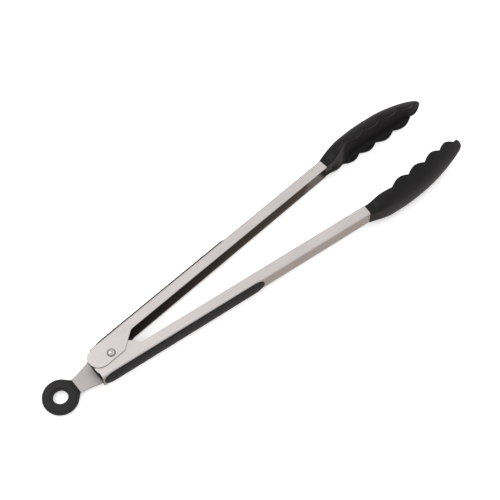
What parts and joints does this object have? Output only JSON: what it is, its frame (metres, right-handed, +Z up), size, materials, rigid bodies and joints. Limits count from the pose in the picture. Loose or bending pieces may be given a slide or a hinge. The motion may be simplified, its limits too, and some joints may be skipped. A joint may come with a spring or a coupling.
{
  "type": "spring loaded kitchen tongs",
  "caption": "Locking spring tongs: two steel channel arms on a pivot rivet with soft grips, scalloped black scoop heads, a sliding lock tab and a hang ring.",
  "frame": {"origin": "middle of the overall box, on its underside, with the tongs lying on their side and part open", "axes": "+X from the hang ring to the tips, +Y across the opening towards the upper arm, +Z up along the pivot pin"},
  "size_m": [0.3419, 0.0668, 0.034],
  "materials": {
    "arm_steel": "satin brushed along the arm",
    "tab_steel": "satin",
    "rivet_steel": "polished",
    "spring_wire": "drawn wire",
    "grip_rubber": "matt, fine grain",
    "head_silicone": "satin",
    "insert_nylon": "matt",
    "ring_plastic": "satin"
  },
  "bodies": {
    "pivot": {"pivot_rivet": "rivet_steel", "spacer_bush": "rivet_steel", "torsion_spring": "spring_wire"},
    "upper_arm_body": {"upper_arm": "arm_steel", "upper_grip": "grip_rubber", "upper_head": "head_silicone", "upper_head_insert": "insert_nylon", "upper_tang_rivet": "rivet_steel"},
    "lower_arm_body": {"lower_arm": "arm_steel", "lower_grip": "grip_rubber", "lower_head": "head_silicone", "lower_head_insert": "insert_nylon", "lower_tang_rivet": "rivet_steel"},
    "tab_body": {"lock_tab": "tab_steel", "hang_ring": "ring_plastic"}
  },
  "joints": [
    {"name": "upper_arm_swing", "type": "hinge", "parent": "pivot", "child": "upper_arm_body", "pos_m": [-0.11715, 0, 0.017], "axis": [0, 0, 1], "range_deg": [-3.7, 7.6], "stiffness_Nm_per_rad": 0.6, "deforming": ["torsion_spring"]},
    {"name": "lower_arm_swing", "type": "hinge", "parent": "pivot", "child": "lower_arm_body", "pos_m": [-0.11715, 0, 0.017], "axis": [0, 0, -1], "range_deg": [-3.75, 7.65]},
    {"name": "tab_slide", "type": "slide", "parent": "pivot", "child": "tab_body", "axis": [1, 0, 0], "range_m": [-0.0037, 0.0073]}
  ],
  "couplings": [
    {"joint": "lower_arm_swing", "follows": "upper_arm_swing", "ratio": 1},
    {"joint": "tab_slide", "follows": "upper_arm_swing", "m_per_rad": 0.0528}
  ]
}
